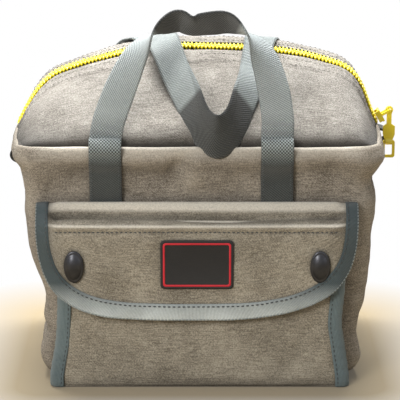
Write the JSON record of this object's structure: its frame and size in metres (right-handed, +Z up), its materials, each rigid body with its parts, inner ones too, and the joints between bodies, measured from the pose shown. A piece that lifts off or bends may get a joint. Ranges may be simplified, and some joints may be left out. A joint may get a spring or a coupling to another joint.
{
  "type": "zippered tool bag",
  "caption": "Canvas tool bag with a zippered top, two webbing carry handles, bound front pocket flap with snaps, and a bare rubber patch.",
  "frame": {"origin": "middle of the part's box in X and Y, at floor level under the bottom panel", "axes": "+X along the zipper towards the slider, +Y from the front pocket to the back, +Z up"},
  "size_m": [0.3274, 0.2094, 0.3064],
  "materials": {
    "canvas": "matt taupe cotton canvas",
    "light_canvas": "matt taupe cotton canvas, facing up into the light",
    "webbing": "grey-green twill webbing",
    "black_webbing": "black webbing",
    "binding": "slate blue woven binding tape",
    "tape": "matt woven zipper tape",
    "teeth": "moulded yellow teeth",
    "yellow_metal": "yellow enamelled die casting",
    "gunmetal": "polished dark nickel",
    "board": "stiffening board",
    "patch": "moulded rubber with a thin inset line"
  },
  "bodies": {
    "root": {"bottom_panel": "canvas", "front_panel": "canvas", "rear_panel": "canvas", "right_side_panel": "canvas", "left_side_panel": "canvas", "pocket_front": "canvas", "pocket_right_gusset": "canvas", "pocket_left_gusset": "canvas", "pocket_floor": "canvas", "right_end_cap": "light_canvas", "left_end_cap": "light_canvas", "front_left_strap": "webbing", "front_right_strap": "webbing", "rear_left_strap": "webbing", "rear_right_strap": "webbing", "right_end_tab": "black_webbing", "left_end_tab": "black_webbing", "pocket_right_binding": "binding", "pocket_left_binding": "binding", "right_zipper_end_tape": "tape", "left_zipper_end_tape": "tape", "right_zipper_end": "teeth", "left_zipper_end": "teeth", "left_snap_stud": "gunmetal", "right_snap_stud": "gunmetal", "base_board": "board"},
    "front_top": {"front_top_panel": "light_canvas", "front_zipper_tape": "tape", "front_zipper_teeth": "teeth"},
    "rear_top": {"rear_top_panel": "light_canvas", "rear_zipper_tape": "tape", "rear_zipper_teeth": "teeth", "rear_handle_left_leg": "webbing", "rear_handle_right_leg": "webbing"},
    "flap": {"pocket_flap": "canvas", "flap_binding": "binding", "flap_patch": "patch", "left_snap_cap": "gunmetal", "right_snap_cap": "gunmetal", "left_snap_socket": "gunmetal", "right_snap_socket": "gunmetal"},
    "front_handle": {"front_handle": "webbing"},
    "rear_bow": {"rear_handle_bow": "webbing"},
    "slider": {"zipper_slider": "yellow_metal"},
    "pull": {"zipper_pull": "yellow_metal"},
    "ring": {"pull_ring": "yellow_metal"}
  },
  "joints": [
    {"name": "front_top_fold", "type": "hinge", "parent": "root", "child": "front_top", "pos_m": [-0.00267, -0.07647, 0.197], "axis": [1, 0, 0], "range_deg": [0, 54]},
    {"name": "rear_top_fold", "type": "hinge", "parent": "root", "child": "rear_top", "pos_m": [-0.00267, 0.09953, 0.197], "axis": [1, 0, 0], "range_deg": [-70.2, 0]},
    {"name": "front_handle_swing", "type": "hinge", "parent": "front_top", "child": "front_handle", "pos_m": [-0.00267, -0.07647, 0.197], "axis": [1, 0, 0], "range_deg": [0, 32]},
    {"name": "rear_bow_swing", "type": "hinge", "parent": "rear_top", "child": "rear_bow", "pos_m": [-0.00267, 0.01153, 0.2753], "axis": [-1, 0, 0], "range_deg": [0, 18]},
    {"name": "flap_lift", "type": "hinge", "parent": "root", "child": "flap", "pos_m": [-0.00267, -0.07417, 0.1507], "axis": [-1, 0, 0], "range_deg": [0, 70]},
    {"name": "slider_travel", "type": "slide", "parent": "root", "child": "slider", "axis": [-0.4867, 0, 0.8736], "range_m": [0, 0.025]},
    {"name": "pull_swing", "type": "hinge", "parent": "slider", "child": "pull", "pos_m": [0.15847, 0.01153, 0.20821], "axis": [0, -1, 0], "range_deg": [0, 29]},
    {"name": "ring_swing", "type": "hinge", "parent": "pull", "child": "ring", "pos_m": [0.15847, 0.01153, 0.18121], "axis": [1, 0, 0], "range_deg": [-80, 40]}
  ],
  "couplings": [
    {"joint": "rear_top_fold", "follows": "front_top_fold", "ratio": -1.3},
    {"joint": "pull_swing", "follows": "slider_travel", "rad_per_m": 20}
  ]
}
